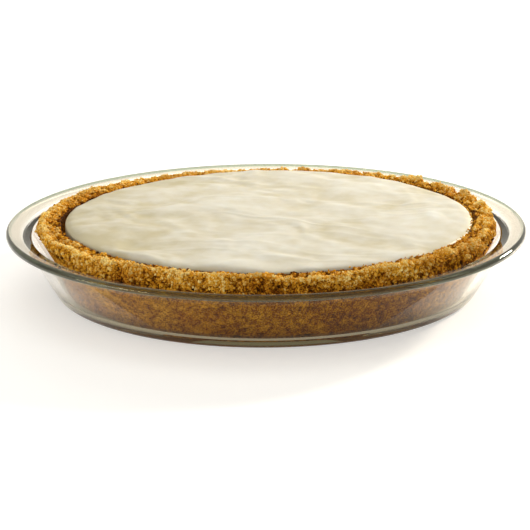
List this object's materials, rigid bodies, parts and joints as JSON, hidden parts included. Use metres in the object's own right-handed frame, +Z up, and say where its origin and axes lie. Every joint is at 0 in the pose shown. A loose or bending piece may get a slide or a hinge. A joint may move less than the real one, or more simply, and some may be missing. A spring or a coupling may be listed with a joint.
{
  "type": "key lime pie in a glass pie dish",
  "caption": "Whole key lime pie: a smooth pale set filling inside a rough golden crumb crust, in its round clear glass pie dish with a wide rim.",
  "frame": {"origin": "centre of the dish's foot, on the table", "axes": "+Z up, out of the pie; +Y away from the viewer of the picture; +X to the viewer's right"},
  "size_m": [0.254, 0.254, 0.0371],
  "materials": {
    "clear_glass": "clear, polished, faint olive tint in the thick rim",
    "crumb_crust": "dry, rough pressed crumbs, golden brown",
    "set_filling": "smooth, soft satin, pale cream, slightly translucent"
  },
  "bodies": {
    "root": {"glass_dish": "clear_glass", "crust": "crumb_crust", "filling": "set_filling"}
  },
  "joints": []
}
